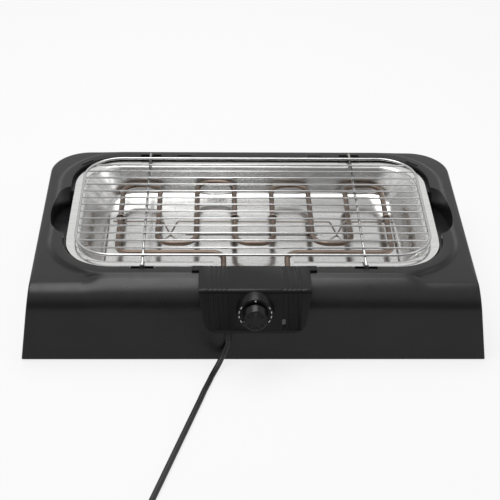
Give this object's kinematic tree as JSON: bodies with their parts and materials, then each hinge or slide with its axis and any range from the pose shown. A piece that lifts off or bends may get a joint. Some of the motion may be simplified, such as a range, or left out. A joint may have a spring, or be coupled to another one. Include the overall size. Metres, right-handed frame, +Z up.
{
  "type": "electric table grill",
  "caption": "Low electric table grill with a black moulded shell, a polished drip tray, a wire cooking grate and a lift-out control box with a dial and a mains cord.",
  "frame": {"origin": "on the table, under the middle of the grill without its cord", "axes": "+X to the user's right along the grill's width, +Y away from the user, +Z up"},
  "size_m": [0.5224, 0.7138, 0.0985],
  "materials": {
    "shell_plastic": "finely grained black moulding",
    "box_plastic": "finely grained black moulding",
    "rest_plastic": "black heat-resistant moulding",
    "tray_metal": "bright rolled sheet",
    "grate_wire": "bright plated wire",
    "element_tube": "heat-browned steel",
    "support_steel": "dull drawn wire",
    "zinc_steel": "zinc-plated",
    "brass": "plain",
    "ceramic": "unglazed ceramic",
    "knob_plastic": "semi-gloss black",
    "lens": "clear moulded",
    "lamp_glass": "neon lamp",
    "foot_rubber": "soft black",
    "cord_rubber": "satin black sheath",
    "plug_plastic": "moulded black",
    "lead_brown": "silicone sleeve",
    "lead_blue": "silicone sleeve",
    "lead_red": "silicone sleeve",
    "lead_green": "silicone sleeve"
  },
  "bodies": {
    "base": {"base_shell": "shell_plastic", "grill_rests": "rest_plastic", "rubber_feet": "foot_rubber"},
    "tray": {"drip_tray": "tray_metal"},
    "control_unit": {"control_housing": "box_plastic", "housing_back": "zinc_steel", "housing_screws": "zinc_steel", "heating_element": "element_tube", "element_bushes": "brass", "terminal_pins": "zinc_steel", "support_wire": "support_steel", "thermostat_body": "ceramic", "thermostat_nut": "zinc_steel", "pilot_lens": "lens", "pilot_lamp": "lamp_glass", "terminal_block": "ceramic", "cord_sheath": "cord_rubber", "cord_clamp": "ceramic", "clamp_screws": "zinc_steel", "live_lead": "lead_brown", "neutral_lead": "lead_blue", "switched_lead": "lead_red", "earth_lead": "lead_green", "lamp_leads": "ceramic", "strain_relief": "cord_rubber", "cord_run": "cord_rubber", "cord_coil": "cord_rubber", "cord_tie": "plug_plastic", "plug_body": "plug_plastic", "plug_pins": "brass"},
    "dial": {"knob": "knob_plastic", "thermostat_shaft": "zinc_steel"},
    "grate": {"grill_ring": "grate_wire", "grill_wires": "grate_wire", "grill_rods": "grate_wire"}
  },
  "joints": [
    {"name": "tray_lift", "type": "slide", "parent": "base", "child": "tray", "axis": [0, 0, 1], "range_m": [0, 0.1]},
    {"name": "control_lift", "type": "slide", "parent": "tray", "child": "control_unit", "axis": [0, 0, 1], "range_m": [0, 0.08]},
    {"name": "grate_lift", "type": "slide", "parent": "control_unit", "child": "grate", "axis": [0, 0, 1], "range_m": [0, 0.08]},
    {"name": "dial_turn", "type": "hinge", "parent": "control_unit", "child": "dial", "pos_m": [0, -0.17, 0.071], "axis": [0, 1, 0], "range_deg": [0, 300]}
  ]
}
